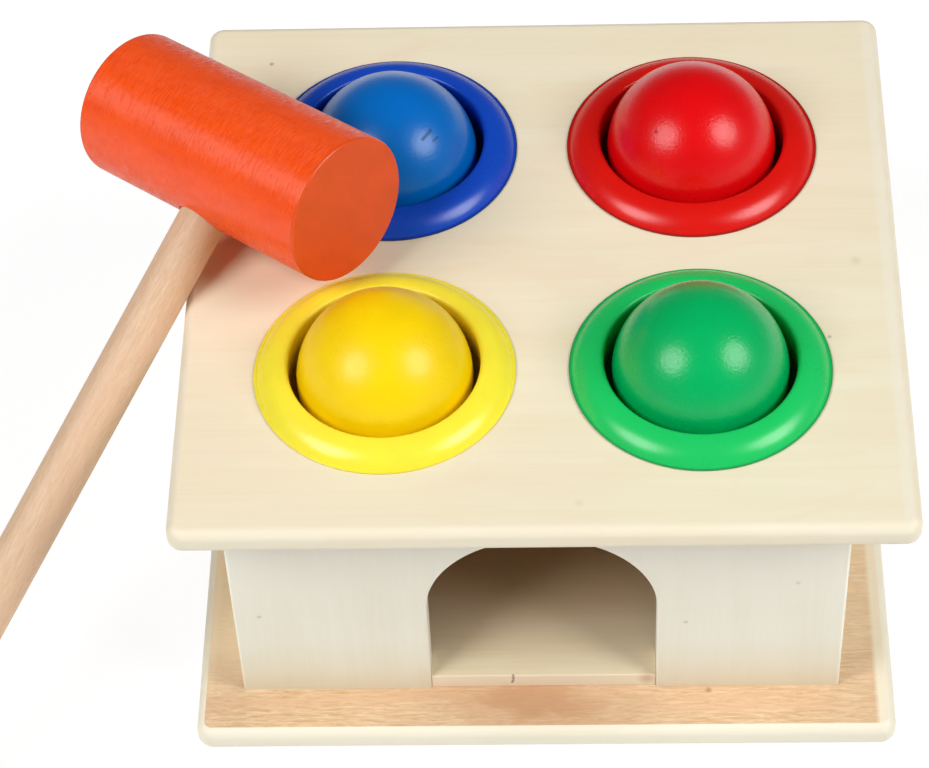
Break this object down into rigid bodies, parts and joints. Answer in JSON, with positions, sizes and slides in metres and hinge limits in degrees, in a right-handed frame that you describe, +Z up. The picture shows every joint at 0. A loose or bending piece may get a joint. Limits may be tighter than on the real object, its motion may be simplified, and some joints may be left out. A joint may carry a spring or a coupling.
{
  "type": "ball pounding bench",
  "caption": "Wooden pounding bench: a plywood box with an arched doorway and a sloping ramp inside, coloured balls held in moulded collars in its top board, and a wooden mallet.",
  "frame": {"origin": "centre of the base board's underside", "axes": "+Z up, +X to the right and -Y to the front, where the doorway is"},
  "size_m": [0.2177, 0.1744, 0.1115],
  "materials": {
    "base_plywood": "clear matt lacquer over beech-faced plywood",
    "top_plywood": "clear satin lacquer over pale plywood",
    "wall_plywood": "clear matt lacquer over pale plywood",
    "ramp_plywood": "bare plywood, sanded",
    "ledge_wood": "bare wood, sawn",
    "dowel_beech": "bare beech",
    "handle_beech": "beech, sanded and lightly lacquered",
    "orange_paint": "orange-red satin paint over wood",
    "zinc_steel": "zinc-plated steel",
    "blue_plastic": "moulded plastic, glossy blue",
    "red_plastic": "moulded plastic, glossy red",
    "yellow_plastic": "moulded plastic, glossy yellow",
    "green_plastic": "moulded plastic, glossy green",
    "blue_rubber": "soft blue rubber",
    "red_rubber": "soft red rubber",
    "yellow_rubber": "soft yellow rubber",
    "green_rubber": "soft green rubber",
    "blue_paint": "blue gloss paint over a turned wooden ball",
    "red_paint": "red gloss paint over a turned wooden ball",
    "yellow_paint": "yellow gloss paint over a turned wooden ball",
    "green_paint": "green gloss paint over a turned wooden ball"
  },
  "bodies": {
    "bench": {"base_board": "base_plywood", "front_panel": "wall_plywood", "back_panel": "wall_plywood", "left_panel": "wall_plywood", "right_panel": "wall_plywood", "ramp": "ramp_plywood", "ramp_ledge": "ledge_wood", "top_board": "top_plywood", "collar_blue": "blue_plastic", "collar_red": "red_plastic", "collar_yellow": "yellow_plastic", "collar_green": "green_plastic", "grip_ring_blue": "blue_rubber", "grip_ring_red": "red_rubber", "grip_ring_yellow": "yellow_rubber", "grip_ring_green": "green_rubber", "dowel_front_left": "dowel_beech", "dowel_front_right": "dowel_beech", "dowel_back_left": "dowel_beech", "dowel_back_right": "dowel_beech", "dowel_left_front": "dowel_beech", "dowel_left_back": "dowel_beech", "dowel_right_front": "dowel_beech", "dowel_right_back": "dowel_beech", "screw_front_left": "zinc_steel", "screw_front_right": "zinc_steel", "screw_back_left": "zinc_steel", "screw_back_right": "zinc_steel", "screw_side_left": "zinc_steel", "screw_side_right": "zinc_steel"},
    "ball_blue": {"ball_blue": "blue_paint"},
    "ball_red": {"ball_red": "red_paint"},
    "ball_yellow": {"ball_yellow": "yellow_paint"},
    "ball_green": {"ball_green": "green_paint"},
    "mallet": {"mallet_head": "orange_paint", "mallet_handle": "handle_beech"}
  },
  "joints": [
    {"name": "ball_blue_drop", "type": "slide", "parent": "bench", "child": "ball_blue", "axis": [0, 0, -1], "range_m": [0, 0.0287], "deforming": ["grip_ring_blue"]},
    {"name": "ball_red_drop", "type": "slide", "parent": "bench", "child": "ball_red", "axis": [0, 0, -1], "range_m": [0, 0.0303], "deforming": ["grip_ring_red"]},
    {"name": "ball_yellow_drop", "type": "slide", "parent": "bench", "child": "ball_yellow", "axis": [0, 0, -1], "range_m": [0, 0.0398], "deforming": ["grip_ring_yellow"]},
    {"name": "ball_green_drop", "type": "slide", "parent": "bench", "child": "ball_green", "axis": [0, 0, -1], "range_m": [0, 0.0406], "deforming": ["grip_ring_green"]},
    {"name": "mallet_lift", "type": "slide", "parent": "bench", "child": "mallet", "axis": [0, 0, 1], "range_m": [0, 0.12]}
  ]
}
